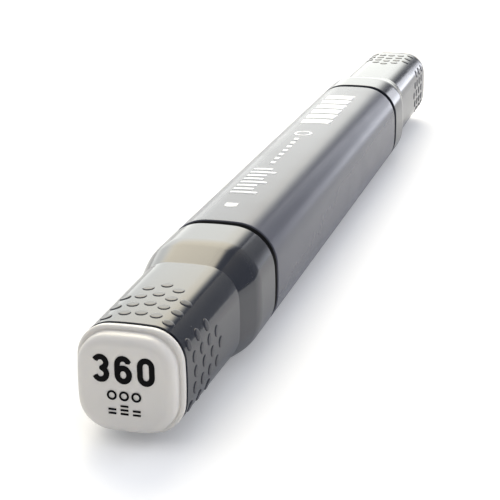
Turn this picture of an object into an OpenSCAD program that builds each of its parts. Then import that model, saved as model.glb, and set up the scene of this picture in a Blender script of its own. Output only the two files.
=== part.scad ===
// Twin-tip felt marker: a chisel nib at one end, a brush nib at the other, a pull-off cap on each.
// Millimetres. The pen lies along Y with the chisel end at -Y, on the flat of its barrel at z = 0.
// Each end is drawn standing on its own cap mouth, with +Z towards the tip, and then laid down.

/* [Barrel] */
// Width across the flats of the barrel
barrel_w = 14; // [12:0.1:20]
// Corner radius of the barrel
barrel_corner_r = 4.9; // [2:0.1:6]
// Length of the barrel between the two black collars
barrel_len = 76.7; // [55:0.1:110]
// Thinnest wall between the barrel's bore and its flats
barrel_wall = 1.3; // [0.8:0.1:2]

/* [Caps] */
// Length of the chisel end's cap
cap_chisel_len = 29.5; // [26:0.1:45]
// Length of the brush end's cap
cap_brush_len = 35.5; // [30:0.1:50]
// Width across the flats where a cap meets its end plug
cap_end_w = 11.5; // [9.5:0.1:14]
// Corner radius where a cap meets its end plug
cap_end_corner_r = 3.5; // [1.5:0.1:4.5]
// Width across the flats at the inner end of the grip panels
cap_panel_w = 12; // [10:0.1:15]
// Corner radius at the inner end of the grip panels
cap_panel_corner_r = 3.8; // [1.5:0.1:5]
// Length of the full-width band at a cap's mouth
cap_band_len = 6.8; // [4:0.1:12]
// Length of the slope between that band and the grip panels
cap_slope_len = 5; // [2:0.1:9]
// Thinnest wall at a cap's mouth
cap_wall = 1.4; // [0.8:0.1:2]
// Thinnest wall at a cap's narrow end
cap_end_wall = 1; // [0.7:0.1:1.6]

/* [Grip dots] */
// Radius of one raised dot
dot_r = 0.65; // [0.4:0.05:1.2]
// Height of a dot above its panel
dot_h = 0.12; // [0.06:0.02:0.5]
// Distance between two columns of dots, around the cap
dot_column_gap = 1.7; // [1.3:0.1:3]
// Dots in the middle column, in the next column and in the outer one
dot_counts = [4, 4, 3]; // [0:1:8]
// Distance from the cap's narrow end to the first dot of those columns
dot_first = [2.7, 2.4, 1.4]; // [1:0.1:6]
// Distance between two dots of those columns, along the cap
dot_steps = [2.7, 2.4, 2.8]; // [1.6:0.1:4]

/* [Nib sections] */
// Height of the black collar seen between a cap and the barrel
collar_len = 1.3; // [0.6:0.1:3]
// How far the collar's lip stands back from the barrel's flats
collar_recess = 0.15; // [0:0.05:0.6]
// Depth of the groove between that lip and the cap's mouth, from the barrel's flats
collar_groove = 0.7; // [0.2:0.05:1.2]
// Width of the lip at its top, and the length over which it falls to the groove's floor
collar_lip = 0.15; // [0.1:0.05:0.5]
// Length of a section pressed into the barrel
insert_len = 8; // [5:0.1:14]
// Wall of a section where it is hollow
section_wall = 1.1; // [0.8:0.1:2]
// Wall of the nib tube at the corners of the chisel's tail
tube_wall = 0.9; // [0.5:0.1:1.6]

/* [Nibs] */
// Thickness of the chisel nib as a share of its width
chisel_flatness = 0.68; // [0.4:0.02:1]
// Length of the chisel nib outside its tube
chisel_out = 5.2; // [3:0.1:9]
// How far the chisel's writing edge slants back across its width
chisel_slant = 2.2; // [0:0.1:4]
// Thickness of the writing edge
chisel_edge_t = 1.1; // [0.5:0.1:2]
// Largest diameter of the brush nib
brush_d = 4.6; // [3:0.1:6]
// Diameter of the brush nib's tail
brush_tail_d = 3; // [1.5:0.1:4]
// Length of the brush nib outside its tube
brush_out = 9.8; // [5:0.1:14]
// Shoulder that a nib has outside its tube, before it narrows
nib_shoulder_len = 1.2; // [0.4:0.1:3]
// How far a nib's tail goes into the reservoir
nib_soak_len = 6; // [3:0.1:12]

/* [Reservoir] */
// Thickness of the film around the fibre
film_t = 0.12; // [0.08:0.01:0.4]
// Outer diameter of the vent tube along the fibre
vent_d = 1.4; // [1:0.1:2.4]
// Bore of the vent tube
vent_bore_d = 0.7; // [0.4:0.1:1.4]

/* [Cap liners and end plugs] */
// Side wall of a liner
liner_wall = 0.8; // [0.5:0.05:1.4]
// Thickness of a liner's closed end
liner_floor = 1; // [0.6:0.1:2]
// Length of the plug's spigot inside the cap
plug_spigot_len = 3.6; // [2:0.1:6]
// Gap seen between the plug's flange and the cap
plug_line = 0.3; // [0.05:0.05:0.5]
// Height at which the plug's flange ends
flange_top = 1.2; // [0.7:0.05:2.5]
// Height of the whole plug above the cap's end
plug_stand = 3; // [1.6:0.1:5]
// Width of the flange seen around the plug's button
flange_ledge = 0.5; // [0.2:0.05:1.5]
// Depth of the groove between flange and button
groove_depth = 0.15; // [0.1:0.05:0.8]
// Width of that groove
groove_w = 0.2; // [0.1:0.05:0.6]
// Corner radius of the plug's button
button_corner_r = 3.3; // [1:0.1:4]
// Rounding of the button's front edge
button_edge_r = 1.1; // [0.2:0.05:1.4]

/* [Fits] */
// Interference of a pressed fit, on the radius
press = 0.03; // [0:0.01:0.08]
// Clearance of a sliding cap, on the radius
slide_gap = 0.15; // [0.08:0.01:0.4]
// Clearance around the reservoir and its ends
loose_gap = 0.25; // [0.1:0.05:1]
// Clearance between the chisel's corners and the liner
nib_gap = 0.55; // [0.3:0.05:1.5]
// Clearance between a nib's tip and the closed end of its liner
tip_gap = 1.2; // [0.5:0.1:4]
// Clearance along the pen between a section and the end of what it faces
step_gap = 0.3; // [0.2:0.05:1]

/* [Hidden] */
$fn = 64;

// Small overlap that keeps joined solids joined and cuts clean
eps = 0.01;
// Thin slice used as one end of a hull
slice = 0.02;

total_len = cap_chisel_len + cap_brush_len + barrel_len + 2 * (collar_len + plug_stand);
mouth_chisel_y = -total_len / 2 + plug_stand + cap_chisel_len;
mouth_brush_y = total_len / 2 - plug_stand - cap_brush_len;
barrel_start_y = mouth_chisel_y + collar_len;
barrel_end_y = mouth_brush_y - collar_len;
axis_z = barrel_w / 2;

barrel_bore_r = barrel_w / 2 - barrel_wall;
mouth_bore_r = barrel_w / 2 - cap_wall;
end_bore_r = cap_end_w / 2 - cap_end_wall;
panel_start = cap_band_len + cap_slope_len;
button_w = cap_end_w - 2 * flange_ledge;

spigot_r = mouth_bore_r - slide_gap;
spigot_len = cap_band_len - step_gap;
liner_bore_r = end_bore_r - liner_wall;
liner_start = panel_start + 2 * step_gap;
tube_r = liner_bore_r - slide_gap;
tube_start = panel_start - 2 * step_gap;
section_bore_r = min(barrel_bore_r, spigot_r) - section_wall;
section_bore_top = spigot_len - 2 * section_wall;

// Where the closed end of a cap's liner begins, and how far a nib reaches towards it
liner_back = plug_spigot_len + step_gap;
tip_back = liner_back + liner_floor + tip_gap;
tip_chisel = cap_chisel_len - tip_back;
tip_brush = cap_brush_len - tip_back;
tube_chisel_end = tip_chisel - chisel_out;
tube_brush_end = tip_brush - brush_out;
tail_base = -collar_len - insert_len - loose_gap - nib_soak_len;

// The chisel's corners lie on circles inside the liner and inside the nib tube
chisel_w = 2 * (liner_bore_r - nib_gap) * cos(atan(chisel_flatness));
chisel_t = chisel_w * chisel_flatness;
chisel_tail_w = 2 * (tube_r - tube_wall) * cos(atan(chisel_flatness));
chisel_tail_t = chisel_tail_w * chisel_flatness;

film_gap = 0.03;
reservoir_r = barrel_bore_r - loose_gap - film_t - film_gap;
film_bore_r = reservoir_r + film_gap;
reservoir_start_y = barrel_start_y + insert_len + loose_gap;
reservoir_len = barrel_len - 2 * (insert_len + loose_gap);
vent_gap = 0.05;
vent_x = reservoir_r - vent_d / 2 - 2 * vent_gap;

module rounded_square(w, r) {
    square([w - 2 * r, w], center = true);
    square([w, w - 2 * r], center = true);
    for (sx = [-1, 1], sy = [-1, 1])
        translate([sx * (w / 2 - r), sy * (w / 2 - r)])
            circle(r);
}

module rounded_prism(w, r, z0, z1) {
    translate([0, 0, z0])
        linear_extrude(z1 - z0)
            rounded_square(w, r);
}

module rod(r, z0, z1) {
    translate([0, 0, z0])
        cylinder(r = r, h = z1 - z0);
}

module cone(r0, r1, z0, z1) {
    translate([0, 0, z0])
        cylinder(r1 = r0, r2 = r1, h = z1 - z0);
}

// Loft between two rounded squares
module rounded_loft(w0, r0, z0, w1, r1, z1) {
    hull() {
        rounded_prism(w0, r0, z0, z0 + slice);
        rounded_prism(w1, r1, z1 - slice, z1);
    }
}

// A rounded square whose far edge is rounded by edge_r
module pillow(w, r, z0, z1, edge_r) {
    hull() {
        rounded_prism(w, r, z0, z1 - edge_r);
        for (a = [30 : 30 : 90])
            let (inset = edge_r * (1 - cos(a)), top = z1 - edge_r + edge_r * sin(a))
                rounded_prism(w - 2 * inset, r - inset, top - slice, top);
    }
}

module at_chisel_end() {
    translate([0, mouth_chisel_y, axis_z])
        rotate([90, 0, 0])
            children();
}

module at_brush_end() {
    translate([0, mouth_brush_y, axis_z])
        rotate([-90, 0, 0])
            children();
}

module barrel() {
    color([0.66, 0.67, 0.69])
        translate([0, barrel_end_y, axis_z])
            rotate([90, 0, 0])
                difference() {
                    rounded_prism(barrel_w, barrel_corner_r, 0, barrel_len);
                    rod(barrel_bore_r, -1, barrel_len + 1);
                }
}

// Black ring between barrel and cap: a thin lip at the barrel's edge, then a groove
module collar() {
    lip_top = collar_lip - collar_len;
    rounded_prism(barrel_w - 2 * collar_groove, barrel_corner_r - collar_groove, -collar_len, 0);
    hull() {
        rounded_prism(barrel_w - 2 * collar_recess, barrel_corner_r - collar_recess, -collar_len, lip_top);
        rounded_prism(barrel_w - 2 * collar_groove, barrel_corner_r - collar_groove,
                      -collar_len, lip_top + collar_lip);
    }
}

// Holder that closes one end of the barrel and grips a nib
module section(tube_end) {
    difference() {
        union() {
            rod(barrel_bore_r + press, -collar_len - insert_len, -collar_len + eps);
            collar();
            rod(spigot_r, -eps, spigot_len);
            cone(spigot_r - step_gap, tube_r, spigot_len - eps, tube_start);
            rod(tube_r, tube_start - eps, tube_end);
        }
        rod(section_bore_r, -collar_len - insert_len - 1, section_bore_top);
        children();
    }
}

module chisel_channel(grow) {
    translate([-chisel_tail_w / 2 - grow, -chisel_tail_t / 2 - grow, tail_base - loose_gap])
        cube([chisel_tail_w + 2 * grow, chisel_tail_t + 2 * grow, tip_chisel - tail_base]);
}

module section_chisel() {
    color([0.06, 0.06, 0.07])
        at_chisel_end()
            section(tube_chisel_end)
                chisel_channel(-press);
}

module section_brush() {
    color([0.06, 0.06, 0.07])
        at_brush_end()
            section(tube_brush_end)
                rod(brush_tail_d / 2 - press, -collar_len - insert_len - 1, tip_brush);
}

// Seen from its wide side the chisel slants, and seen from its thin side it is a wedge
module nib_chisel() {
    shoulder = tube_chisel_end + step_gap / 3;
    wedge_start = shoulder + nib_shoulder_len;
    color([0.86, 0.85, 0.82])
        at_chisel_end() {
            translate([-chisel_tail_w / 2, -chisel_tail_t / 2, tail_base])
                cube([chisel_tail_w, chisel_tail_t, shoulder - tail_base + eps]);
            intersection() {
                rotate([90, 0, 0])
                    linear_extrude(chisel_t + 2, center = true)
                        polygon([
                            [-chisel_w / 2, shoulder],
                            [chisel_w / 2, shoulder],
                            [chisel_w / 2, tip_chisel - chisel_slant],
                            [-chisel_w / 2, tip_chisel]
                        ]);
                rotate([90, 0, 90])
                    linear_extrude(chisel_w + 2, center = true)
                        polygon([
                            [-chisel_t / 2, shoulder],
                            [chisel_t / 2, shoulder],
                            [chisel_t / 2, wedge_start],
                            [chisel_edge_t / 2, tip_chisel],
                            [-chisel_edge_t / 2, tip_chisel],
                            [-chisel_t / 2, wedge_start]
                        ]);
            }
        }
}

// Radius of the brush at a share t of its length: full at the root, then a fine point
function brush_radius(t) = brush_d / 2 * pow(1 - t, 0.72) + 0.15 * t;

module nib_brush() {
    shoulder = tube_brush_end + step_gap / 3;
    brush_len = tip_brush - shoulder;
    steps = 12;
    color([0.9, 0.89, 0.86])
        at_brush_end() {
            rod(brush_tail_d / 2, tail_base, shoulder + eps);
            rotate_extrude()
                polygon(concat(
                    [[0, shoulder]],
                    [for (i = [0 : steps]) [brush_radius(i / steps), shoulder + brush_len * i / steps]],
                    [[0, tip_brush]]
                ));
        }
}

// Space that the vent tube takes along the reservoir
module vent_space(r, z0, z1) {
    translate([vent_x, 0, 0])
        rod(r, z0, z1);
}

module along_reservoir() {
    translate([0, reservoir_start_y + reservoir_len, axis_z])
        rotate([90, 0, 0])
            children();
}

module reservoir() {
    color([0.93, 0.92, 0.88])
        difference() {
            along_reservoir()
                difference() {
                    rod(reservoir_r, 0, reservoir_len);
                    vent_space(vent_d / 2 + vent_gap, -1, reservoir_len + 1);
                }
            at_chisel_end()
                chisel_channel(0);
            at_brush_end()
                rod(brush_tail_d / 2, tail_base - loose_gap, 0);
        }
}

module reservoir_film() {
    color([0.85, 0.88, 0.9])
        along_reservoir()
            difference() {
                rod(film_bore_r + film_t, 0, reservoir_len);
                rod(film_bore_r, -1, reservoir_len + 1);
            }
}

module vent_tube() {
    color([0.95, 0.95, 0.95])
        along_reservoir()
            difference() {
                vent_space(vent_d / 2, loose_gap, reservoir_len - loose_gap);
                vent_space(vent_bore_d / 2, -1, reservoir_len + 1);
            }
}

// One dot on the face towards +Y, at a distance x around the cap from the middle of that face
module dot(x, half_w, corner_r, z) {
    flat_half = half_w - corner_r;
    over = max(0, abs(x) - flat_half);
    side = sign(x);
    translate([side * (abs(x) - over), flat_half, z])
        rotate([0, 0, -side * over / corner_r * 180 / PI])
            translate([0, corner_r, 0])
                rotate([-90, 0, 0])
                    cylinder(r = dot_r, h = 2 * dot_h, center = true, $fn = 24);
}

// Columns of dots on one face: the middle one reaches furthest, so the patch ends in an arch
module dot_patch(cap_len) {
    panel_len = cap_len - panel_start;
    for (column = [-2 : 2])
        for (i = [0 : dot_counts[abs(column)] - 1])
            let (
                from_end = dot_first[abs(column)] + i * dot_steps[abs(column)],
                share = from_end / panel_len,
                half_w = (cap_end_w + (cap_panel_w - cap_end_w) * share) / 2,
                corner_r = cap_end_corner_r + (cap_panel_corner_r - cap_end_corner_r) * share
            )
                dot(column * dot_column_gap, half_w, corner_r, cap_len - from_end);
}

module cap(cap_len) {
    difference() {
        union() {
            rounded_prism(barrel_w, barrel_corner_r, 0, cap_band_len);
            rounded_loft(barrel_w, barrel_corner_r, cap_band_len - eps,
                cap_panel_w, cap_panel_corner_r, panel_start);
            rounded_loft(cap_panel_w, cap_panel_corner_r, panel_start - eps,
                cap_end_w, cap_end_corner_r, cap_len);
            for (face = [0 : 3])
                rotate([0, 0, 90 * face])
                    dot_patch(cap_len);
        }
        rod(mouth_bore_r, -1, cap_band_len);
        cone(mouth_bore_r, end_bore_r, cap_band_len - eps, panel_start);
        rod(end_bore_r, panel_start - eps, cap_len + 1);
    }
}

module cap_chisel() {
    color([0.56, 0.57, 0.58])
        at_chisel_end()
            cap(cap_chisel_len);
}

module cap_brush() {
    color([0.56, 0.57, 0.58])
        at_brush_end()
            cap(cap_brush_len);
}

// Cup pressed into a cap, which seals around the nib tube
module liner(cap_len) {
    floor_top = cap_len - liner_back;
    difference() {
        rod(end_bore_r + press, liner_start, floor_top);
        rod(liner_bore_r, liner_start - 1, floor_top - liner_floor);
        cone(liner_bore_r + liner_wall / 2, liner_bore_r, liner_start - eps, liner_start + liner_wall);
    }
}

module liner_chisel() {
    color([0.9, 0.9, 0.88])
        at_chisel_end()
            liner(cap_chisel_len);
}

module liner_brush() {
    color([0.9, 0.9, 0.88])
        at_brush_end()
            liner(cap_brush_len);
}

// Snap-in end plug: hollow spigot, flange, groove and a raised button
module plug() {
    groove_z = flange_top - groove_depth;
    spigot_wall = 1;
    spigot_roof = 0.6;
    neck_inset = 0.35;
    flange_edge_r = 0.25;
    difference() {
        rod(end_bore_r + press, -plug_spigot_len, eps);
        rod(end_bore_r - spigot_wall, -plug_spigot_len - 1, -spigot_roof);
    }
    rounded_prism(cap_end_w - 2 * neck_inset, cap_end_corner_r - neck_inset, 0, plug_line + eps);
    difference() {
        pillow(cap_end_w, cap_end_corner_r, plug_line, flange_top, flange_edge_r);
        rounded_prism(button_w + 2 * groove_w, button_corner_r + groove_w, groove_z, flange_top + 1);
    }
    pillow(button_w, button_corner_r, groove_z - eps, plug_stand, button_edge_r);
}

module plug_chisel() {
    color([0.86, 0.85, 0.83])
        at_chisel_end()
            translate([0, 0, cap_chisel_len])
                plug();
}

module plug_brush() {
    color([0.86, 0.85, 0.83])
        at_brush_end()
            translate([0, 0, cap_brush_len])
                plug();
}

barrel();
section_chisel();
section_brush();
nib_chisel();
nib_brush();
reservoir();
reservoir_film();
vent_tube();
cap_chisel();
cap_brush();
liner_chisel();
liner_brush();
plug_chisel();
plug_brush();
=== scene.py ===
import math

import bmesh
import bpy
from mathutils import Matrix, Vector
from mathutils.geometry import delaunay_2d_cdt


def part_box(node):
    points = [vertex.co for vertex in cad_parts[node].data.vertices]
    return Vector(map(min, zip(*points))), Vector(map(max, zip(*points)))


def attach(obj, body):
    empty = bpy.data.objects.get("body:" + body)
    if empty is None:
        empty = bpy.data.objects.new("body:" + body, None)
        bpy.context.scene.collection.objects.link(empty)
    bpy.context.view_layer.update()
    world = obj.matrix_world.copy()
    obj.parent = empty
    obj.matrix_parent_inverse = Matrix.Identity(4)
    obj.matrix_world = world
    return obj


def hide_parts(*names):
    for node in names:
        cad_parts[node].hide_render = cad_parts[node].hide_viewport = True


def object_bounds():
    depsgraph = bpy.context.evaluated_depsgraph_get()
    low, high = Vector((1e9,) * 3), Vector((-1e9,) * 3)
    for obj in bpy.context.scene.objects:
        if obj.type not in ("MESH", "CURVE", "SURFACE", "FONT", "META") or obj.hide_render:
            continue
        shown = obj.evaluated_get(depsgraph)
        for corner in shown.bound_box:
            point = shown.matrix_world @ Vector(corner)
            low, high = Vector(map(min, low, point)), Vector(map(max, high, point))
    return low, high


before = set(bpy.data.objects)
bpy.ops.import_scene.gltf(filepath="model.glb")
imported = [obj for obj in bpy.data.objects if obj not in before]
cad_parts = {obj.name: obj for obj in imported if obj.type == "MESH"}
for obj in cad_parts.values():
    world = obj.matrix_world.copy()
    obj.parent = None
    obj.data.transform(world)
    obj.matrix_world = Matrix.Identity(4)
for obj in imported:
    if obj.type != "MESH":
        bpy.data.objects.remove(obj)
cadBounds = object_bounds()
mm = 0.001

print("frame loaded")

# places along the pen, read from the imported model
barrelLow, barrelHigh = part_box("barrel")
axisHeight = (barrelLow.z + barrelHigh.z) / 2
ends = {
    "chisel": {"outward": -1, "body": "chisel_cap",
               "mouth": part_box("cap_chisel")[1].y, "capEnd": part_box("cap_chisel")[0].y},
    "brush": {"outward": 1, "body": "brush_cap",
              "mouth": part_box("cap_brush")[0].y, "capEnd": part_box("cap_brush")[1].y},
}
for end in ends.values():
    end["capLength"] = abs(end["capEnd"] - end["mouth"])

surfaceStyle = {
    "cornerSteps": 16,   # steps round one corner of a squared section
    "crownSteps": 3,     # steps across half of a flat
    "crown": math.radians(3.2),  # how far a flat's edge leans before the corner starts
    "sharpAngle": math.radians(38),
}


def squaredOutline(halfWidth, cornerRadius):
    # points round a squared section with slightly crowned flats; a circle when cornerRadius is halfWidth
    flat = halfWidth - cornerRadius
    lean = surfaceStyle["crown"] if flat > 1e-6 else 0.0
    flatRadius = flat / math.sin(lean) if lean else 0.0
    sag = flatRadius * (1 - math.cos(lean))
    bend = (cornerRadius - sag) / (math.cos(lean) - math.sin(lean))
    centre = halfWidth - sag - bend * math.cos(lean)
    quarter = []
    crownSteps = surfaceStyle["crownSteps"]
    for i in range(crownSteps):
        a = lean * i / crownSteps
        quarter.append((halfWidth - flatRadius * (1 - math.cos(a)), flatRadius * math.sin(a)))
    steps = surfaceStyle["cornerSteps"]
    for i in range(steps + 1):
        a = lean + (math.pi / 2 - 2 * lean) * i / steps
        quarter.append((centre + bend * math.cos(a), centre + bend * math.sin(a)))
    for i in range(1, crownSteps):
        a = lean * (crownSteps - i) / crownSteps
        quarter.append((flatRadius * math.sin(a), halfWidth - flatRadius * (1 - math.cos(a))))
    outline = []
    for turn in range(4):
        c, s = (1, 0, -1, 0)[turn], (0, 1, 0, -1)[turn]
        outline += [(c * x - s * z, s * x + c * z) for x, z in quarter]
    return outline


def onOutline(outline, distance):
    # the point a given way round from the middle of the top, and the direction straight out of it
    index, step = len(outline) // 4, -1 if distance >= 0 else 1
    left = abs(distance)
    while True:
        a, b = Vector(outline[index]), Vector(outline[index + step])
        if left <= (b - a).length:
            along = (b - a).normalized()
            return a + along * left, Vector((-along.y, along.x)) * -step
        left -= (b - a).length
        index += step


def ring(v, halfWidth, cornerRadius=None):
    # one section of a loft, v along the pen; without a corner radius it is round
    return (v, halfWidth, halfWidth if cornerRadius is None else cornerRadius)


def edgeRings(v, halfWidth, cornerRadius, size, opening, steps=4):
    # a rounded edge: from the end face out to the side when opening, otherwise from the side in
    found = []
    for i in range(steps + 1):
        a = math.pi / 2 * i / steps
        inset = size * (1 - math.sin(a))
        found.append((v + size * (1 - math.cos(a)) * (1 if opening else -1), halfWidth - inset,
                      max(cornerRadius - inset, 0.05 * mm)))
    return found if opening else found[::-1]


def loft(mesh, rings, place, closed):
    # a skin over the sections in order; closed joins the last to the first, otherwise both ends are capped
    rows = []
    for v, halfWidth, cornerRadius in rings:
        rows.append([mesh.verts.new(place(x, z, v)) for x, z in squaredOutline(halfWidth, cornerRadius)])
    pairs = list(zip(rows, rows[1:])) + ([(rows[-1], rows[0])] if closed else [])
    for near, far in pairs:
        for i in range(len(near)):
            j = (i + 1) % len(near)
            mesh.faces.new((near[i], near[j], far[j], far[i]))
    if not closed:
        mesh.faces.new(rows[0][::-1])
        mesh.faces.new(rows[-1])


def alongEnd(end):
    # place points drawn as (across, up, outward from the cap's mouth)
    side = end["outward"]
    return lambda x, z, v: Vector((x, end["mouth"] + side * v, axisHeight + z))


def alongPen(x, z, y):
    return Vector((x, y, axisHeight + z))


def addPiece(name, mesh, material, body, replacing=(), second=None):
    bmesh.ops.remove_doubles(mesh, verts=mesh.verts, dist=2e-7)
    bmesh.ops.dissolve_degenerate(mesh, edges=mesh.edges, dist=1e-8)
    bmesh.ops.recalc_face_normals(mesh, faces=mesh.faces)
    for face in mesh.faces:
        face.smooth = True
    for edge in mesh.edges:
        if len(edge.link_faces) == 2 and edge.calc_face_angle(0) > surfaceStyle["sharpAngle"]:
            edge.smooth = False
    data = bpy.data.meshes.new(name)
    mesh.to_mesh(data)
    mesh.free()
    piece = bpy.data.objects.new(name, data)
    bpy.context.scene.collection.objects.link(piece)
    data.materials.append(material)
    if second:
        data.materials.append(second)
    weighted = piece.modifiers.new("evenShading", "WEIGHTED_NORMAL")
    weighted.keep_sharp = True
    weighted.weight = 60
    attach(piece, body)
    if replacing:
        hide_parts(*replacing)
    return piece


def newGroup(name, inputs, outputs):
    group = bpy.data.node_groups.new(name, "ShaderNodeTree")
    for label, kind, value in inputs:
        socket = group.interface.new_socket(name=label, in_out="INPUT", socket_type=kind)
        socket.default_value = value
    for label, kind in outputs:
        group.interface.new_socket(name=label, in_out="OUTPUT", socket_type=kind)
    return group, group.nodes.new("NodeGroupInput"), group.nodes.new("NodeGroupOutput")


def addNode(tree, kind, **values):
    node = tree.nodes.new(kind)
    for key, value in values.items():
        setattr(node, key, value)
    return node


def mathNode(tree, operation, a, b, clamp=False):
    node = addNode(tree, "ShaderNodeMath", operation=operation, use_clamp=clamp)
    for socket, value in ((node.inputs[0], a), (node.inputs[1], b)):
        if isinstance(value, (int, float)):
            socket.default_value = value
        else:
            tree.links.new(value, socket)
    return node.outputs[0]


def noiseNode(tree, vector, scale, detail=2.0, roughness=0.5):
    node = addNode(tree, "ShaderNodeTexNoise")
    tree.links.new(vector, node.inputs["Vector"])
    if isinstance(scale, (int, float)):
        node.inputs["Scale"].default_value = scale
    else:
        tree.links.new(scale, node.inputs["Scale"])
    node.inputs["Detail"].default_value = detail
    node.inputs["Roughness"].default_value = roughness
    return node.outputs["Fac"]


def makeMouldedSkin():
    # gives the faint orange peel of a moulded face, and where fingers have dulled it
    group, start, finish = newGroup("mouldedSkin", [
        ("Peel Size", "NodeSocketFloat", 900.0), ("Peel Depth", "NodeSocketFloat", 0.3),
        ("Base Roughness", "NodeSocketFloat", 0.25), ("Smudge", "NodeSocketFloat", 0.08),
    ], [("Height", "NodeSocketFloat"), ("Roughness", "NodeSocketFloat")])
    place = addNode(group, "ShaderNodeTexCoord").outputs["Object"]
    coarse = noiseNode(group, place, start.outputs["Peel Size"], 1.0)
    fine = noiseNode(group, place, mathNode(group, "MULTIPLY", start.outputs["Peel Size"], 5.0), 2.0)
    mixed = mathNode(group, "ADD", mathNode(group, "MULTIPLY", coarse, 0.8),
                     mathNode(group, "MULTIPLY", fine, 0.2))
    group.links.new(mathNode(group, "MULTIPLY", mixed, start.outputs["Peel Depth"]), finish.inputs["Height"])
    smudge = noiseNode(group, place, 140.0, 3.0, 0.6)
    spread = mathNode(group, "SUBTRACT", smudge, 0.4, True)
    spread = mathNode(group, "MULTIPLY", mathNode(group, "MULTIPLY", spread, start.outputs["Smudge"]), 2.0)
    roughness = mathNode(group, "ADD", start.outputs["Base Roughness"], spread, True)
    group.links.new(roughness, finish.inputs["Roughness"])
    return group


def makeFineDust():
    # a few pale specks of dust and a very slow drift of the colour
    group, start, finish = newGroup("fineDust", [
        ("Colour", "NodeSocketColor", (0.5, 0.5, 0.5, 1)), ("Dust", "NodeSocketColor", (0.7, 0.69, 0.66, 1)),
        ("Amount", "NodeSocketFloat", 0.3), ("Drift", "NodeSocketFloat", 0.06),
    ], [("Colour", "NodeSocketColor")])
    place = addNode(group, "ShaderNodeTexCoord").outputs["Object"]
    cells = addNode(group, "ShaderNodeTexVoronoi", feature="F1")
    cells.inputs["Scale"].default_value = 1500.0
    group.links.new(place, cells.inputs["Vector"])
    near = mathNode(group, "LESS_THAN", cells.outputs["Distance"], 0.07)
    rare = mathNode(group, "GREATER_THAN", noiseNode(group, place, 300.0, 2.0), 0.6)
    speck = mathNode(group, "MULTIPLY", mathNode(group, "MULTIPLY", near, rare), start.outputs["Amount"])
    drift = mathNode(group, "SUBTRACT", noiseNode(group, place, 60.0, 2.0), 0.5)
    drift = mathNode(group, "MULTIPLY", drift, mathNode(group, "MULTIPLY", start.outputs["Drift"], 2.0))
    drift = mathNode(group, "ADD", 1.0, drift)
    shade = addNode(group, "ShaderNodeVectorMath", operation="SCALE")
    group.links.new(start.outputs["Colour"], shade.inputs[0])
    group.links.new(drift, shade.inputs["Scale"])
    mix = addNode(group, "ShaderNodeMix", data_type="RGBA")
    group.links.new(speck, mix.inputs["Factor"])
    group.links.new(shade.outputs[0], mix.inputs["A"])
    group.links.new(start.outputs["Dust"], mix.inputs["B"])
    group.links.new(mix.outputs["Result"], finish.inputs["Colour"])
    return group


def makeFibres():
    # strands drawn out along the pen: a height and a tone
    group, start, finish = newGroup("drawnFibres", [
        ("Strand Size", "NodeSocketFloat", 9000.0), ("Stretch", "NodeSocketFloat", 0.06),
    ], [("Height", "NodeSocketFloat"), ("Tone", "NodeSocketFloat")])
    place = addNode(group, "ShaderNodeTexCoord").outputs["Object"]
    stretch = addNode(group, "ShaderNodeCombineXYZ")
    stretch.inputs["X"].default_value = 1.0
    stretch.inputs["Z"].default_value = 1.0
    group.links.new(start.outputs["Stretch"], stretch.inputs["Y"])
    drawn = addNode(group, "ShaderNodeVectorMath", operation="MULTIPLY")
    group.links.new(place, drawn.inputs[0])
    group.links.new(stretch.outputs[0], drawn.inputs[1])
    strands = noiseNode(group, drawn.outputs[0], start.outputs["Strand Size"], 2.0)
    group.links.new(strands, finish.inputs["Height"])
    pores = noiseNode(group, place, mathNode(group, "MULTIPLY", start.outputs["Strand Size"], 0.4), 3.0)
    tone = mathNode(group, "MULTIPLY", mathNode(group, "ADD", strands, pores), 0.5)
    group.links.new(tone, finish.inputs["Tone"])
    return group


mouldedSkin = makeMouldedSkin()
fineDust = makeFineDust()
drawnFibres = makeFibres()


def placeGroup(tree, group, values):
    node = addNode(tree, "ShaderNodeGroup", node_tree=group)
    for key, value in values.items():
        node.inputs[key].default_value = value
    return node


def mouldedPlastic(name, look):
    material = bpy.data.materials.new(name)
    material.use_nodes = True
    tree = material.node_tree
    shader = tree.nodes["Principled BSDF"]
    skin = placeGroup(tree, mouldedSkin, {"Peel Size": look["peelSize"], "Peel Depth": look["peelDepth"],
                                          "Base Roughness": look["roughness"], "Smudge": look["smudge"]})
    dust = placeGroup(tree, fineDust, {"Colour": (*look["colour"], 1), "Amount": look["dust"],
                                       "Drift": look["drift"]})
    bump = addNode(tree, "ShaderNodeBump")
    bump.inputs["Strength"].default_value = look["bump"]
    bump.inputs["Distance"].default_value = 0.02 * mm
    tree.links.new(skin.outputs["Height"], bump.inputs["Height"])
    tree.links.new(skin.outputs["Roughness"], shader.inputs["Roughness"])
    tree.links.new(dust.outputs["Colour"], shader.inputs["Base Color"])
    tree.links.new(bump.outputs["Normal"], shader.inputs["Normal"])
    shader.inputs["IOR"].default_value = look["ior"]
    if look.get("glow"):
        shader.inputs["Subsurface Weight"].default_value = look["glow"]
        shader.inputs["Subsurface Radius"].default_value = (1.0, 0.9, 0.7)
        shader.inputs["Subsurface Scale"].default_value = 0.6 * mm
    return material


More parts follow.
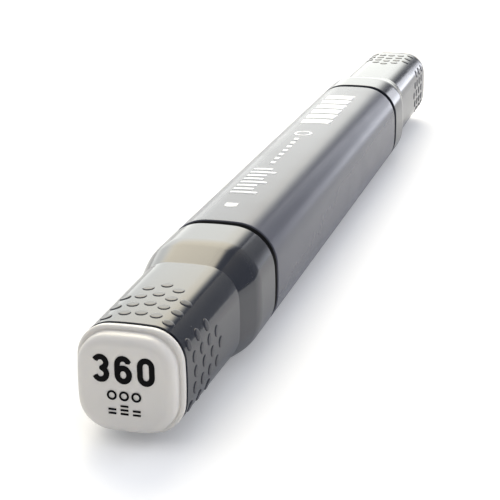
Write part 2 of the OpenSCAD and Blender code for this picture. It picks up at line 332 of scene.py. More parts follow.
def fibreMaterial(name, look):
    material = bpy.data.materials.new(name)
    material.use_nodes = True
    tree = material.node_tree
    shader = tree.nodes["Principled BSDF"]
    fibres = placeGroup(tree, drawnFibres, {"Strand Size": look["strandSize"], "Stretch": look["stretch"]})
    ramp = addNode(tree, "ShaderNodeValToRGB")
    ramp.color_ramp.elements[0].position = 0.3
    ramp.color_ramp.elements[0].color = (*look["deep"], 1)
    ramp.color_ramp.elements[1].position = 0.66
    ramp.color_ramp.elements[1].color = (*look["colour"], 1)
    bump = addNode(tree, "ShaderNodeBump")
    bump.inputs["Strength"].default_value = look["bump"]
    bump.inputs["Distance"].default_value = 0.05 * mm
    tree.links.new(fibres.outputs["Tone"], ramp.inputs["Fac"])
    tree.links.new(ramp.outputs["Color"], shader.inputs["Base Color"])
    tree.links.new(fibres.outputs["Height"], bump.inputs["Height"])
    tree.links.new(bump.outputs["Normal"], shader.inputs["Normal"])
    shader.inputs["Roughness"].default_value = 0.9
    shader.inputs["Sheen Weight"].default_value = 0.3
    return material


looks = {
    "cap": {"colour": (0.021, 0.024, 0.034), "roughness": 0.12, "smudge": 0.06, "peelSize": 700.0,
            "peelDepth": 0.25, "bump": 0.25, "dust": 0.25, "drift": 0.1, "ior": 1.46},
    "dot": {"colour": (0.021, 0.023, 0.033), "roughness": 0.24, "smudge": 0.1, "peelSize": 1500.0,
            "peelDepth": 0.5, "bump": 0.3, "dust": 0.2, "drift": 0.1, "ior": 1.4},
    "barrel": {"colour": (0.086, 0.089, 0.113), "roughness": 0.2, "smudge": 0.08, "peelSize": 800.0,
               "peelDepth": 0.3, "bump": 0.25, "dust": 0.2, "drift": 0.06, "ior": 1.28},
    "section": {"colour": (0.004, 0.004, 0.0045), "roughness": 0.36, "smudge": 0.1, "peelSize": 1500.0,
                "peelDepth": 0.4, "bump": 0.3, "dust": 0.1, "drift": 0.1, "ior": 1.26},
    "plug": {"colour": (0.735, 0.71, 0.675), "roughness": 0.34, "smudge": 0.1, "peelSize": 1600.0,
             "peelDepth": 0.35, "bump": 0.2, "dust": 0.15, "drift": 0.03, "ior": 1.46, "glow": 0.15},
    "liner": {"colour": (0.74, 0.74, 0.71), "roughness": 0.5, "smudge": 0.15, "peelSize": 2200.0,
              "peelDepth": 0.5, "bump": 0.3, "dust": 0.05, "drift": 0.05, "ior": 1.5, "glow": 0.2},
    "film": {"colour": (0.70, 0.74, 0.78), "roughness": 0.12, "smudge": 0.2, "peelSize": 500.0,
             "peelDepth": 0.8, "bump": 0.5, "dust": 0.0, "drift": 0.05, "ior": 1.5},
    "nib": {"colour": (0.80, 0.785, 0.75), "deep": (0.52, 0.51, 0.48), "strandSize": 5200.0,
            "stretch": 0.12, "bump": 0.6},
    "fibre": {"colour": (0.86, 0.85, 0.81), "deep": (0.60, 0.59, 0.55), "strandSize": 4200.0,
              "stretch": 0.02, "bump": 0.8},
}
plastics = {name: mouldedPlastic(name + "Plastic", looks[name])
            for name in ("cap", "dot", "barrel", "section", "plug", "liner", "film")}
felts = {name: fibreMaterial(name + "Felt", looks[name]) for name in ("nib", "fibre")}


def inkMaterial(name, colour, roughness, wear, gloss):
    # pad-printed ink: slightly patchy where it has been rubbed
    material = bpy.data.materials.new(name)
    material.use_nodes = True
    tree = material.node_tree
    shader = tree.nodes["Principled BSDF"]
    dust = placeGroup(tree, fineDust, {"Colour": (*colour, 1), "Amount": 0.0, "Drift": wear})
    skin = placeGroup(tree, mouldedSkin, {"Peel Size": 3500.0, "Peel Depth": 0.5, "Base Roughness": roughness,
                                          "Smudge": 0.1})
    bump = addNode(tree, "ShaderNodeBump")
    bump.inputs["Strength"].default_value = 0.3
    bump.inputs["Distance"].default_value = 0.01 * mm
    tree.links.new(skin.outputs["Height"], bump.inputs["Height"])
    tree.links.new(dust.outputs["Colour"], shader.inputs["Base Color"])
    tree.links.new(skin.outputs["Roughness"], shader.inputs["Roughness"])
    tree.links.new(bump.outputs["Normal"], shader.inputs["Normal"])
    shader.inputs["Specular IOR Level"].default_value = gloss
    return material


whiteInk = inkMaterial("whiteInk", (0.86, 0.87, 0.87), 0.4, 0.08, 0.25)
blackInk = inkMaterial("blackInk", (0.003, 0.003, 0.0035), 0.34, 0.2, 0.06)

print("materials made")

barrelShape = {"halfWidth": (barrelHigh.x - barrelLow.x) / 2, "cornerRadius": 4.9 * mm, "bore": 5.7 * mm,
               "edge": 0.18 * mm}


def makeBarrel():
    mesh = bmesh.new()
    half, corner = barrelShape["halfWidth"], barrelShape["cornerRadius"]
    rings = edgeRings(barrelLow.y, half, corner, barrelShape["edge"], True)
    rings += edgeRings(barrelHigh.y, half, corner, barrelShape["edge"], False)
    rings += [ring(barrelHigh.y, barrelShape["bore"]), ring(barrelLow.y, barrelShape["bore"])]
    loft(mesh, rings, alongPen, closed=True)
    return addPiece("barrelShell", mesh, plastics["barrel"], "pen", ["barrel"])


makeBarrel()

capShape = {
    "mouthHalf": 7.0 * mm, "mouthCorner": 4.9 * mm, "band": 6.8 * mm,
    "slope": 5.0 * mm, "bendRadius": 2.2 * mm,          # how softly the band turns into the slope
    "panelHalf": 6.0 * mm, "panelCorner": 3.8 * mm,
    "endHalf": 5.75 * mm, "endCorner": 3.5 * mm,
    "mouthBore": 5.6 * mm, "endBore": 4.75 * mm, "edge": 0.16 * mm, "endEdge": 0.06 * mm,
    "crease": 0.12 * mm, "leadIn": 0.25 * mm,           # where the panels start, and the flare in the mouth
}
dotShape = {"radius": 0.65 * mm, "height": 0.08 * mm, "columnGap": 1.7 * mm,
            "profile": ((1.06, -0.9), (1.03, 0.05), (0.97, 0.5), (0.88, 0.83), (0.74, 0.98), (0.4, 1.0)),
            "counts": (4, 4, 3), "first": (2.7 * mm, 2.4 * mm, 1.4 * mm),  # middle, next and outer column
            "steps": (2.7 * mm, 2.4 * mm, 2.8 * mm), "sides": 20}


def capSection(v, length):
    # half width and corner radius of a cap, v from its mouth
    band, slope = capShape["band"], capShape["slope"]
    if v <= band:
        return capShape["mouthHalf"], capShape["mouthCorner"]
    if v <= band + slope:
        t = (v - band) / slope
        a, b = ("mouthHalf", "panelHalf"), ("mouthCorner", "panelCorner")
    else:
        t = (v - band - slope) / (length - band - slope)
        a, b = ("panelHalf", "endHalf"), ("panelCorner", "endCorner")
    blend = lambda pair: capShape[pair[0]] + (capShape[pair[1]] - capShape[pair[0]]) * t
    return blend(a), blend(b)


def softBend(v, length):
    # the band's edge is eased into the slope by averaging the section over a short length
    reach = capShape["bendRadius"] / 2
    samples = [capSection(v + reach * k / 4, length) for k in range(-4, 5)]
    return tuple(sum(s[i] for s in samples) / len(samples) for i in (0, 1))


def addDot(mesh, place, face, around, half, corner, v):
    # a low disc with a rounded rim, sunk a little into the panel
    foot, out = onOutline(squaredOutline(half, corner), around)
    across = Vector((out.y, -out.x))
    turn = Matrix.Rotation(face * math.pi / 2, 2)
    radius, height = dotShape["radius"], dotShape["height"]
    rows = []
    for wide, high in dotShape["profile"]:
        row = []
        for i in range(dotShape["sides"]):
            a = 2 * math.pi * i / dotShape["sides"]
            p = turn @ (foot + out * height * high + across * radius * wide * math.cos(a))
            row.append(mesh.verts.new(place(p.x, p.y, v + radius * wide * math.sin(a))))
        rows.append(row)
    faces = []
    for low, high in zip(rows, rows[1:]):
        for i in range(len(low)):
            j = (i + 1) % len(low)
            faces.append(mesh.faces.new((low[i], low[j], high[j], high[i])))
    mesh.faces.new(rows[0][::-1])
    for skin in faces + [mesh.faces.new(rows[-1])]:
        skin.material_index = 1


def makeCap(name):
    end = ends[name]
    length = end["capLength"]
    place = alongEnd(end)
    mesh = bmesh.new()
    band, slope = capShape["band"], capShape["slope"]
    reach = capShape["bendRadius"] / 2
    rings = edgeRings(0.0, capShape["mouthHalf"], capShape["mouthCorner"], capShape["edge"], True)
    for i in range(7):
        v = band - reach + 2 * reach * i / 6
        rings.append((v, *softBend(v, length)))
    panel = band + slope
    crease, leadIn = capShape["crease"], capShape["leadIn"]
    rings.append((panel - crease, *capSection(panel - crease, length)))
    rings.append((panel, *capSection(panel + crease, length)))
    rings += edgeRings(length, capShape["endHalf"], capShape["endCorner"], capShape["endEdge"], False)
    rings += [ring(length, capShape["endBore"]), ring(panel, capShape["endBore"]),
              ring(band, capShape["mouthBore"]), ring(leadIn, capShape["mouthBore"]),
              ring(0.0, capShape["mouthBore"] + leadIn)]
    loft(mesh, rings, place, closed=True)
    for face in range(4):
        for column in range(-2, 3):
            k = abs(column)
            for i in range(dotShape["counts"][k]):
                fromEnd = dotShape["first"][k] + i * dotShape["steps"][k]
                half, corner = capSection(length - fromEnd, length)
                addDot(mesh, place, face, column * dotShape["columnGap"], half, corner, length - fromEnd)
    return addPiece("cap" + name.capitalize() + "Shell", mesh, plastics["cap"], end["body"],
                    ["cap_" + name], second=plastics["dot"])


for name in ends:
    makeCap(name)
print("barrel and caps built")

plugShape = {
    "flangeHalf": 5.75 * mm, "flangeCorner": 3.5 * mm, "flangeTop": 1.2 * mm,
    "flangeEdge": 0.36 * mm, "flangeBackEdge": 0.08 * mm,
    "neckInset": 0.7 * mm, "line": 0.43 * mm,           # the neck, painted black as painted shade in the gap, seen as a line behind the flange
    "valley": ((0.09 * mm, -0.04 * mm), (0.05 * mm, -0.02 * mm), (0.02 * mm, 0.05 * mm), (0.0, 0.18 * mm)),
    "buttonHalf": 5.25 * mm, "buttonCorner": 3.3 * mm, "buttonEdge": 1.1 * mm,
    "dish": 0.06 * mm, "dishRim": 0.4 * mm,             # how far the face dips, and where the dip starts
    "spigot": 4.75 * mm, "spigotLength": 3.6 * mm, "spigotBore": 3.75 * mm, "roof": 0.6 * mm,
    "leadIn": 0.25 * mm, "leadInLength": 0.4 * mm, "sprue": 0.4 * mm,
}


def makePlug(name):
    end = ends[name]
    length = end["capLength"]
    s = plugShape
    low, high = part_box("plug_" + name)
    stand = abs((low.y if end["outward"] < 0 else high.y) - end["capEnd"])
    foot, roof = length - s["spigotLength"], length - s["roof"]
    neckHalf, neckCorner = s["flangeHalf"] - s["neckInset"], s["flangeCorner"] - s["neckInset"]
    rings = [ring(roof, s["sprue"]), ring(roof, s["spigotBore"]), ring(foot, s["spigotBore"]),
             ring(foot, s["spigot"] - s["leadIn"]), ring(foot + s["leadInLength"], s["spigot"]),
             ring(length, s["spigot"]), (length, neckHalf, neckCorner),
             (length + s["line"], neckHalf, neckCorner)]
    rings += edgeRings(length + s["line"], s["flangeHalf"], s["flangeCorner"], s["flangeBackEdge"], True, 2)
    rings += edgeRings(length + s["flangeTop"], s["flangeHalf"], s["flangeCorner"], s["flangeEdge"], False, 6)
    for outward, rise in s["valley"]:  # the ledge runs softly into the button's side
        rings.append((length + s["flangeTop"] + rise, s["buttonHalf"] + outward, s["buttonCorner"] + outward))
    rings += edgeRings(length + stand, s["buttonHalf"], s["buttonCorner"], s["buttonEdge"], False, 12)
    faceHalf = s["buttonHalf"] - s["buttonEdge"] - s["dishRim"]
    faceCorner = s["buttonCorner"] - s["buttonEdge"]
    rings.append((length + stand - s["dish"] * 0.4, faceHalf, faceCorner - s["dishRim"] / 2))
    rings.append((length + stand - s["dish"], faceHalf * 0.55, faceCorner * 0.5))
    mesh = bmesh.new()
    loft(mesh, rings, alongEnd(end), closed=False)
    slack = 0.01 * mm
    for face in mesh.faces:  # the neck is painted black: painted shade in the gap between flange and cap
        reach = [abs(v.co.y - end["mouth"]) for v in face.verts]
        width = max(max(abs(v.co.x), abs(v.co.z - axisHeight)) for v in face.verts)
        behindFlange = min(reach) > length - slack and max(reach) < length + s["line"] + slack
        if behindFlange and s["spigot"] * 0.7 < width < neckHalf + slack:
            face.material_index = 1
    # the second material, the black section plastic, is the neck's painted shade
    return addPiece("plug" + name.capitalize() + "Button", mesh, plastics["plug"], end["body"],
                    ["plug_" + name], second=plastics["section"])


for name in ends:
    makePlug(name)

sectionShape = {  # the black holders between barrel and nibs
    "collar": 1.3 * mm, "lip": 0.15 * mm, "lipHalf": 6.85 * mm, "lipCorner": 4.75 * mm, "lipEdge": 0.06 * mm,
    "grooveHalf": 6.3 * mm, "grooveCorner": 4.2 * mm, "grooveFillet": 0.05 * mm,
    "insert": 8.0 * mm, "insertRadius": 5.7 * mm, "bore": 4.35 * mm, "boreRoof": 2.2 * mm,
    "spigot": 5.45 * mm, "spigotLength": 6.5 * mm, "chamfer": 0.3 * mm,
    "bead": {"start": 1.8 * mm, "length": 1.1 * mm, "ramp": 0.3 * mm, "height": 0.08 * mm},
    "tube": 3.8 * mm, "tubeStart": 11.2 * mm, "coneSteps": 8, "coneEase": 0.35,
    "grooves": {"count": 2, "first": 1.2 * mm, "step": 1.6 * mm, "length": 0.6 * mm, "ramp": 0.15 * mm,
                "depth": 0.12 * mm},
    "tubeLip": ((0.3 * mm, 0.0), (0.08 * mm, 0.18 * mm), (0.0, 0.35 * mm)),  # back from its end, and inward
    "nibHole": {"chisel": 2.3 * mm, "brush": 1.5 * mm}, "nibLeadIn": (0.3 * mm, 0.2 * mm),
}


def roundBand(start, length, ramp, radius, change):
    # a raised or a sunk band on a round stretch
    return [ring(start, radius), ring(start + ramp, radius + change),
            ring(start + length - ramp, radius + change), ring(start + length, radius)]


def makeSection(name):
    end = ends[name]
    s = sectionShape
    low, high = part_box("section_" + name)
    tubeEnd = abs((low.y if end["outward"] < 0 else high.y) - end["mouth"])
    collar, lip, back = -s["collar"], s["lip"], -s["collar"] - s["insert"]
    rings = [ring(back, s["bore"]), ring(back, s["insertRadius"] - s["chamfer"]),
             ring(back + 2 * s["chamfer"], s["insertRadius"]), ring(collar, s["insertRadius"])]
    # the collar: a thin lip at the barrel's edge, then a groove up to the cap's mouth
    edge, fillet = s["lipEdge"], s["grooveFillet"]
    rings += [(collar, s["lipHalf"], s["lipCorner"]), (collar + 0.6 * lip, s["lipHalf"], s["lipCorner"]),
              (collar + lip, s["lipHalf"] - edge, s["lipCorner"] - edge),
              (collar + 1.8 * lip, s["grooveHalf"] + fillet, s["grooveCorner"] + fillet),
              (collar + 2.1 * lip, s["grooveHalf"], s["grooveCorner"]),
              (0.0, s["grooveHalf"], s["grooveCorner"])]
    bead = s["bead"]
    rings += [ring(0.0, s["spigot"])]
    rings += roundBand(bead["start"], bead["length"], bead["ramp"], s["spigot"], bead["height"])
    coneFoot = s["spigot"] - s["chamfer"]
    rings += [ring(s["spigotLength"] - s["chamfer"], s["spigot"]), ring(s["spigotLength"], coneFoot)]
    cone = s["tubeStart"] - s["spigotLength"]
    for i in range(1, s["coneSteps"] + 1):
        t = i / s["coneSteps"]
        ease = t * t * (3 - 2 * t) * s["coneEase"] + t * (1 - s["coneEase"])
        rings.append(ring(s["spigotLength"] + cone * t, coneFoot + (s["tube"] - coneFoot) * ease))
    g = s["grooves"]
    for i in range(g["count"]):
        start = s["tubeStart"] + g["first"] + g["step"] * i
        rings += roundBand(start, g["length"], g["ramp"], s["tube"], -g["depth"])
    for short, inward in s["tubeLip"]:
        rings.append(ring(tubeEnd - short, s["tube"] - inward))
    hole = s["nibHole"][name]
    deep, wide = s["nibLeadIn"]
    roof = s["spigotLength"] - s["boreRoof"]
    rings += [ring(tubeEnd, hole + wide), ring(tubeEnd - deep, hole), ring(roof, hole), ring(roof, s["bore"])]
    mesh = bmesh.new()
    loft(mesh, rings, alongEnd(end), closed=True)
    return addPiece("section" + name.capitalize() + "Holder", mesh, plastics["section"], "pen",
                    ["section_" + name])


for name in ends:
    makeSection(name)
print("plugs and sections built")

chiselShape = {
    "halfWidth": 2.8 * mm, "halfThick": 1.9 * mm, "tailHalfWidth": 2.4 * mm, "tailHalfThick": 1.63 * mm,
    "out": 5.2 * mm, "clearance": 0.1 * mm, "shoulder": 1.2 * mm, "slant": 2.2 * mm, "edgeHalf": 0.55 * mm,
    "rounding": 0.3 * mm,
}
brushShape = {
    "radius": 2.3 * mm, "tail": 1.5 * mm, "tailEdge": 0.2 * mm, "out": 9.8 * mm, "clearance": 0.1 * mm,
    "footEdge": 0.25 * mm, "steps": 18, "fullness": 0.72, "point": 0.13 * mm,
}


def makeChiselNib():
    s = chiselShape
    end = ends["chisel"]
    place = alongEnd(end)
    low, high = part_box("nib_chisel")
    tip = abs(low.y - end["mouth"])
    tail = -abs(high.y - end["mouth"])
    start = tip - s["out"] + s["clearance"]
    w, t = s["halfWidth"], s["halfThick"]
    sections = [  # right and left distance along the pen, half width, half thickness
        (tail, tail, s["tailHalfWidth"], s["tailHalfThick"]),
        (start, start, s["tailHalfWidth"], s["tailHalfThick"]),
        (start, start, w, t), (start + s["shoulder"], start + s["shoulder"], w, t),
        (tip - s["slant"], tip, w, s["edgeHalf"]),
    ]
    mesh = bmesh.new()
    rows = []
    for right, left, halfWide, halfThick in sections:
        rows.append([mesh.verts.new(place(x * halfWide, z * halfThick, right if x > 0 else left))
                     for x, z in ((-1, -1), (1, -1), (1, 1), (-1, 1))])
    for near, far in zip(rows, rows[1:]):
        for i in range(4):
            j = (i + 1) % 4
            mesh.faces.new((near[i], near[j], far[j], far[i]))
    mesh.faces.new(rows[0][::-1])
    mesh.faces.new(rows[-1])
    bmesh.ops.recalc_face_normals(mesh, faces=mesh.faces)
    bmesh.ops.bevel(mesh, geom=list(mesh.edges), offset=s["rounding"], segments=3, profile=0.5,
                    affect="EDGES", clamp_overlap=True)
    return addPiece("chiselNib", mesh, felts["nib"], "pen", ["nib_chisel"])


def makeBrushNib():
    s = brushShape
    end = ends["brush"]
    low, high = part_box("nib_brush")
    tip = abs(high.y - end["mouth"])
    tail = -abs(low.y - end["mouth"])
    start = tip - s["out"] + s["clearance"]
    head = start + s["footEdge"]
    rings = [ring(tail, s["tail"] - s["tailEdge"]), ring(tail + s["tailEdge"], s["tail"]),
             ring(start, s["tail"]), ring(start, s["radius"] - s["footEdge"]), ring(head, s["radius"])]
    for i in range(1, s["steps"] + 1):
        t = i / s["steps"]
        rings.append(ring(head + (tip - head) * t, s["radius"] * (1 - t) ** s["fullness"] + s["point"] * t))
    mesh = bmesh.new()
    loft(mesh, rings, alongEnd(end), closed=False)
    return addPiece("brushNib", mesh, felts["nib"], "pen", ["nib_brush"])


makeChiselNib()
makeBrushNib()

# inner pieces that stay as they are packed and only get a material
keptLooks = {"reservoir": felts["fibre"], "reservoir_film": plastics["film"], "vent_tube": plastics["liner"],
             "liner_chisel": plastics["liner"], "liner_brush": plastics["liner"]}
for node, material in keptLooks.items():
    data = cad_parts[node].data
    data.materials.clear()
    data.materials.append(material)
print("nibs built, inner pieces dressed")

inkShape = {"lift": 0.012 * mm, "thick": 0.010 * mm}
barrelOutline = squaredOutline(barrelShape["halfWidth"], barrelShape["cornerRadius"])


def onBarrel(along, around):
    # a point on the barrel's upper side: along from its chisel end, around from the middle of its top
    foot, out = onOutline(barrelOutline, around)
    spot = foot + out * inkShape["lift"]
    return Vector((spot.x, barrelLow.y + along, axisHeight + spot.y))


def finishInk(name, outlines, place, material, body):
    # outlines may overlap: they are joined into one sheet before it is laid on the surface
    points, loops = [], []
    for outline in outlines:
        turning = sum(a[0] * b[1] - b[0] * a[1] for a, b in zip(outline, outline[1:] + outline[:1]))
        outline = outline if turning > 0 else outline[::-1]
        loops.append(list(range(len(points), len(points) + len(outline))))
        points += [Vector(p) / mm for p in outline]
    spots, _, triangles, _, _, owners = delaunay_2d_cdt(points, [], loops, 0, 1e-4)
    mesh = bmesh.new()
    corners = [mesh.verts.new(place(p.x * mm, p.y * mm)) for p in spots]
    for triangle, owner in zip(triangles, owners):
        if owner:
            mesh.faces.new([corners[k] for k in triangle])
    bmesh.ops.delete(mesh, geom=[v for v in mesh.verts if not v.link_faces], context="VERTS")
    piece = addPiece(name, mesh, material, body)
    solid = piece.modifiers.new("inkThickness", "SOLIDIFY")
    solid.thickness = inkShape["thick"]
    solid.offset = 0
    piece.modifiers.move(1, 0)
    return piece


def bar(a0, a1, b0, b1, steps=6):
    # a straight bar from a0 to a1 along and b0 to b1 around
    side = [(a0, b0 + (b1 - b0) * i / steps) for i in range(steps + 1)]
    other = [(a1, b0 + (b1 - b0) * i / steps) for i in range(steps + 1)]
    return side + other[::-1]


def strokeOutlines(points, weight, closed=False):
    # a band of even weight along a path: one quad for each stretch and a small disc at each joint
    path = [Vector(p) for p in points] + ([Vector(points[0])] if closed else [])
    found = []
    for a, b in zip(path, path[1:]):
        side = Vector((a.y - b.y, b.x - a.x)).normalized() * weight / 2
        found.append([tuple(a + side), tuple(a - side), tuple(b - side), tuple(b + side)])
    for a in path if closed else path[1:-1]:
        turns = [k * math.pi / 5 for k in range(10)]
        found.append([(a.x + weight / 2 * math.cos(turn), a.y + weight / 2 * math.sin(turn))
                      for turn in turns])
    return found


def arc(x, y, wide, high, start, stop, steps=10):
    # points on an oval, angles in degrees
    return [(x + wide * math.cos(math.radians(start + (stop - start) * i / steps)),
             y + high * math.sin(math.radians(start + (stop - start) * i / steps))) for i in range(steps + 1)]


barrelPrint = {  # distances along the barrel from its chisel end, then across its top
    "wedge": (5.4 * mm, 7.3 * mm), "wedgeMiddle": -0.75 * mm,
    "bars": {"start": 11.6 * mm, "step": 1.6 * mm, "count": 8, "length": 0.95 * mm, "low": -2.6 * mm,
             "high": (1.0 * mm, 0.1 * mm, 0.1 * mm)},
    "dashes": {"start": 26.0 * mm, "step": 2.2 * mm, "count": 7, "length": 1.5 * mm, "low": -1.2 * mm,
               "high": -0.5 * mm},
    "ring": {"place": (43.6 * mm, -0.7 * mm), "radius": 1.15 * mm, "weight": 0.4 * mm},
    "blocks": {"start": 50.2 * mm, "step": 3.35 * mm, "count": 6, "length": 2.5 * mm, "low": -2.95 * mm,
               "high": 1.75 * mm},
}


def barrelMarks():
    s = barrelPrint
    a, b = s["wedge"]
    m = s["wedgeMiddle"]
    outlines = [[(a, m - 0.15 * mm), (a + 0.7 * mm, m - 0.8 * mm), (b, m - 0.8 * mm), (b, m + 0.8 * mm),
                 (a + 0.7 * mm, m + 0.8 * mm), (a, m + 0.15 * mm)]]
    w = s["bars"]
    for i in range(w["count"]):
        a = w["start"] + i * w["step"]
        outlines.append(bar(a, a + w["length"], w["low"], w["high"][i % 3], steps=10))
    d = s["dashes"]
    for i in range(d["count"]):
        a = d["start"] + i * d["step"]
        outlines.append(bar(a, a + d["length"], d["low"], d["high"]))
    r = s["ring"]
    outlines += strokeOutlines(arc(*r["place"], r["radius"], r["radius"], 0, 345, 23), r["weight"], True)
    k = s["blocks"]
    for i in range(k["count"]):
        a = k["start"] + i * k["step"]
        outlines.append(bar(a, a + k["length"], k["low"], k["high"], steps=12))
    return outlines


finishInk("barrelPrint", barrelMarks(), onBarrel, whiteInk, "pen")

digitPaths = {  # strokes in a box one wide and two high
    "0": [(arc(0.5, 1.45, 0.5, 0.55, 0, 180) + arc(0.5, 0.55, 0.5, 0.55, 180, 360), True)],
    "3": [(arc(0.5, 1.5, 0.48, 0.5, 160, -75) + arc(0.5, 0.52, 0.5, 0.52, 75, -160), False)],
    "6": [(arc(0.5, 1.45, 0.5, 0.55, 20, 180) + [(0, 1.0), (0, 0.6)], False),
          (arc(0.5, 0.58, 0.5, 0.58, 0, 345, 23), True)],
}
plugPrint = {"number": "360", "width": 1.25 * mm, "height": 2.45 * mm, "gap": 1.15 * mm, "weight": 0.6 * mm,
             "base": 0.6 * mm, "ringRow": -1.0 * mm, "barRow": -2.95 * mm, "barStep": 0.42 * mm,
             "mark": 0.42 * mm, "markGap": 1.3 * mm, "fineWeight": 0.22 * mm, "lift": 0.03 * mm}


def plugMarks():
    s = plugPrint
    outlines = []
    step = s["width"] + s["gap"]
    start = -(step * len(s["number"]) - s["gap"]) / 2
    for i, digit in enumerate(s["number"]):
        for path, closed in digitPaths[digit]:
            outlines += strokeOutlines([(start + i * step + x * s["width"], s["base"] + z / 2 * s["height"])
                                        for x, z in path], s["weight"], closed)
    for i in range(3):
        x = (i - 1) * s["markGap"]
        circle = arc(x, s["ringRow"], s["mark"], s["mark"], 0, 345, 23)
        outlines += strokeOutlines(circle, s["fineWeight"], True)
        for k in range(3 if i == 1 else 2):
            bottom = s["barRow"] + k * s["barStep"]
            outlines += strokeOutlines([(x - s["mark"], bottom), (x + s["mark"], bottom)], s["fineWeight"])
    return outlines


def makePlugPrint(name):
    end = ends[name]
    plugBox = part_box("plug_" + name)
    faceY = plugBox[0].y if end["outward"] < 0 else plugBox[1].y
    side = end["outward"]
    # the button's face is very slightly dished, so the ink follows just above it
    sheetY = faceY - side * (plugShape["dish"] * 0.55 - plugPrint["lift"])
    place = lambda x, z: Vector((-side * x, sheetY, axisHeight + z))
    return finishInk("plug" + name.capitalize() + "Print", plugMarks(), place, blackInk, end["body"])


for name in ends:
    makePlugPrint(name)
print("prints added")

studio = {
    "floorSize": 4.0, "floorColour": (0.88, 0.88, 0.885, 1), "paperLift": 0.2,
    "frontWall": 0.4, "backWall": 0.8, "overhead": 0.55, "coolTint": (0.965, 0.985, 1.03, 1),
    # bearings and heights in degrees, as the start and the end of each fade
    "window": {"left": (-55, -32), "right": (-4, 10), "top": (50, 68), "climb": (8, 40), "low": 1.85,
               "high": 5.2, "tint": (0.985, 1.0, 0.96, 1), "warmTint": (1.0, 0.92, 0.74, 1),
               "warmFrom": (16, 34)},
    "dimWall": {"left": (-3, 6), "right": (60, 85), "top": (45, 70), "amount": 0.75},
    "fill": {"place": (0.32, 0.2, 0.15), "aim": (0.0, 0.02, 0.0), "power": 0.6, "size": 0.25,
             "tint": (0.84, 0.88, 1.0)},
    "card": {"place": (0.1, 0.02, 0.0), "length": 0.5, "height": 0.24, "tint": (0.90, 0.92, 1.0, 1),
             "lean": 0.92, "rise": (0.195, 0.32), "dark": 0.12, "bright": 2.8,
             "foot": 1.5, "footHeight": (0.008, 0.055), "footRise": (0.085, 0.155)},
}


def makeFloor():
    data = bpy.data.meshes.new("floor")
    s = studio["floorSize"] / 2
    data.from_pydata([(-s, -s, 0), (s, -s, 0), (s, s, 0), (-s, s, 0)], [], [(0, 1, 2, 3)])
    floor = bpy.data.objects.new("floor", data)
    bpy.context.scene.collection.objects.link(floor)
    floor.location.z = cadBounds[0][2] - 0.00001
    material = bpy.data.materials.new("floorPaper")
    material.use_nodes = True
    tree = material.node_tree
    shader = tree.nodes["Principled BSDF"]
    shader.inputs["Base Color"].default_value = studio["floorColour"]
    shader.inputs["Roughness"].default_value = 0.9
    shader.inputs["Specular IOR Level"].default_value = 0.1
    shader.inputs["Emission Color"].default_value = (1, 1, 1, 1)
    seen = addNode(tree, "ShaderNodeLightPath").outputs["Is Camera Ray"]
    tree.links.new(mathNode(tree, "MULTIPLY", seen, studio["paperLift"]), shader.inputs["Emission Strength"])
    data.materials.append(material)


def fadeNode(tree, value, low, high, outLow=0.0, outHigh=1.0):
    node = addNode(tree, "ShaderNodeMapRange", interpolation_type="SMOOTHSTEP")
    tree.links.new(value, node.inputs["Value"])
    for key, number in (("From Min", low), ("From Max", high), ("To Min", outLow), ("To Max", outHigh)):
        node.inputs[key].default_value = number
    return node.outputs[0]


def makeSideCard():
    # a graded card on the right: dark beside the chisel end, bright beyond the brush end
    c = studio["card"]
    data = bpy.data.meshes.new("sideCard")
    data.from_pydata([(0, 0, 0), (0, c["length"], 0), (0, c["length"], c["height"]), (0, 0, c["height"])], [],
                     [(0, 1, 2, 3)])
    card = bpy.data.objects.new("sideCard", data)
    bpy.context.scene.collection.objects.link(card)
    card.location = c["place"]
    card.visible_camera = card.visible_diffuse = card.visible_shadow = False
    material = bpy.data.materials.new("gradedCard")
    material.use_nodes = True
    tree = material.node_tree
    shader = tree.nodes["Principled BSDF"]
    shader.inputs["Base Color"].default_value = (0.02, 0.02, 0.02, 1)
    shader.inputs["Emission Color"].default_value = c["tint"]
    axes = addNode(tree, "ShaderNodeSeparateXYZ")
    tree.links.new(addNode(tree, "ShaderNodeTexCoord").outputs["Object"], axes.inputs[0])
    lean = mathNode(tree, "MULTIPLY", axes.outputs["Z"], c["lean"])
    run = mathNode(tree, "SUBTRACT", axes.outputs["Y"], lean)
    glow = fadeNode(tree, run, *c["rise"], c["dark"], c["bright"])
    foot = fadeNode(tree, axes.outputs["Z"], *c["footHeight"], c["foot"], 0.0)
    foot = mathNode(tree, "MULTIPLY", foot, fadeNode(tree, run, *c["footRise"]))
    tree.links.new(mathNode(tree, "ADD", glow, foot), shader.inputs["Emission Strength"])
    data.materials.append(material)


def makeFill():
    # a weak cool lamp that opens the shadow on the far right
    f = studio["fill"]
    data = bpy.data.lights.new("coolFill", "AREA")
    data.energy, data.size, data.color = f["power"], f["size"], f["tint"]
    lamp = bpy.data.objects.new("coolFill", data)
    bpy.context.scene.collection.objects.link(lamp)
    place, aim = Vector(f["place"]), Vector(f["aim"])
    turn = (aim - place).to_track_quat("-Z", "Y").to_matrix()
    lamp.matrix_world = Matrix.Translation(place) @ turn.to_4x4()
    lamp.visible_glossy = False


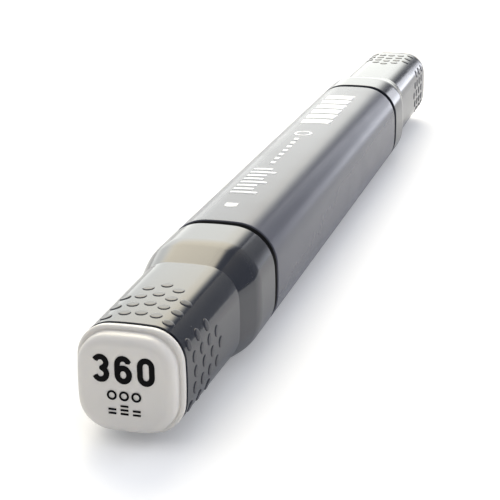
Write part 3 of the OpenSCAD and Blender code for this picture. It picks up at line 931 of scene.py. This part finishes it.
def makeWorld():
    # a white room: a tall soft window at the back left, warmer higher up, and a dim wall at the back right
    s = studio["window"]
    world = bpy.data.worlds.new("studio")
    bpy.context.scene.world = world
    world.use_nodes = True
    tree = world.node_tree
    background = tree.nodes["Background"]
    axes = addNode(tree, "ShaderNodeSeparateXYZ")
    tree.links.new(addNode(tree, "ShaderNodeTexCoord").outputs["Generated"], axes.inputs[0])
    degrees = math.degrees(1)
    bearing = mathNode(tree, "ARCTAN2", axes.outputs["X"], axes.outputs["Y"])
    bearing = mathNode(tree, "MULTIPLY", bearing, degrees)
    height = mathNode(tree, "MULTIPLY", mathNode(tree, "ARCSINE", axes.outputs["Z"], 0.0), degrees)
    window = fadeNode(tree, bearing, *s["left"])
    for fade in (fadeNode(tree, bearing, *s["right"], 1.0, 0.0), fadeNode(tree, height, *s["top"], 1.0, 0.0),
                 fadeNode(tree, height, *s["climb"], s["low"], s["high"])):
        window = mathNode(tree, "MULTIPLY", window, fade)
    d = studio["dimWall"]
    dim = fadeNode(tree, bearing, *d["left"])
    for fade in (fadeNode(tree, bearing, *d["right"], 1.0, 0.0), fadeNode(tree, height, *d["top"], 1.0, 0.0)):
        dim = mathNode(tree, "MULTIPLY", dim, fade)
    walls = fadeNode(tree, axes.outputs["Y"], -0.3, 0.2, studio["frontWall"], studio["backWall"])
    walls = mathNode(tree, "ADD", walls, fadeNode(tree, axes.outputs["Z"], 0.5, 1.0, 0.0, studio["overhead"]))
    left = mathNode(tree, "SUBTRACT", 1.0, mathNode(tree, "MULTIPLY", dim, d["amount"]))
    walls = mathNode(tree, "MULTIPLY", walls, left)
    warmth = mathNode(tree, "MULTIPLY", fadeNode(tree, height, *s["warmFrom"]),
                      fadeNode(tree, window, 0.5, 2.5))
    tint = addNode(tree, "ShaderNodeMix", data_type="RGBA")
    tree.links.new(warmth, tint.inputs["Factor"])
    tint.inputs["A"].default_value = s["tint"]
    tint.inputs["B"].default_value = s["warmTint"]
    around = addNode(tree, "ShaderNodeMix", data_type="RGBA")
    tree.links.new(fadeNode(tree, window, 0.0, 1.0), around.inputs["Factor"])
    around.inputs["A"].default_value = studio["coolTint"]
    tree.links.new(tint.outputs["Result"], around.inputs["B"])
    tree.links.new(around.outputs["Result"], background.inputs["Color"])
    tree.links.new(mathNode(tree, "ADD", walls, window), background.inputs["Strength"])


cameraView = {
    "fromPlug": Vector((48.66, -126.37, 66.15)) * mm,  # from the chisel cap's end, at floor height
    "azimuth": math.radians(16.27), "elevation": math.radians(17.45), "roll": math.radians(-0.61),
    "lens": 104.06, "shift": (0.0121, -0.0665),
}


def makeCamera():
    c = cameraView
    data = bpy.data.cameras.new("studioCamera")
    camera = bpy.data.objects.new("studioCamera", data)
    bpy.context.scene.collection.objects.link(camera)
    a, b = c["azimuth"], c["elevation"]
    back = Vector((math.sin(a) * math.cos(b), -math.cos(a) * math.cos(b), math.sin(b)))
    right = Vector((math.cos(a), math.sin(a), 0))
    up = back.cross(right)
    turned = Matrix.Rotation(c["roll"], 3, back)
    right, up = turned @ right, turned @ up
    place = Vector((0, ends["chisel"]["capEnd"], 0)) + c["fromPlug"]
    camera.matrix_world = Matrix.Translation(place) @ Matrix((right, up, back)).transposed().to_4x4()
    data.lens = c["lens"]
    data.sensor_width = 36
    data.shift_x, data.shift_y = c["shift"]
    data.clip_start = 0.005
    bpy.context.scene.camera = camera


makeFloor()
makeSideCard()
makeFill()
makeWorld()
makeCamera()
bpy.context.scene.view_settings.view_transform = "Standard"
print("studio set")
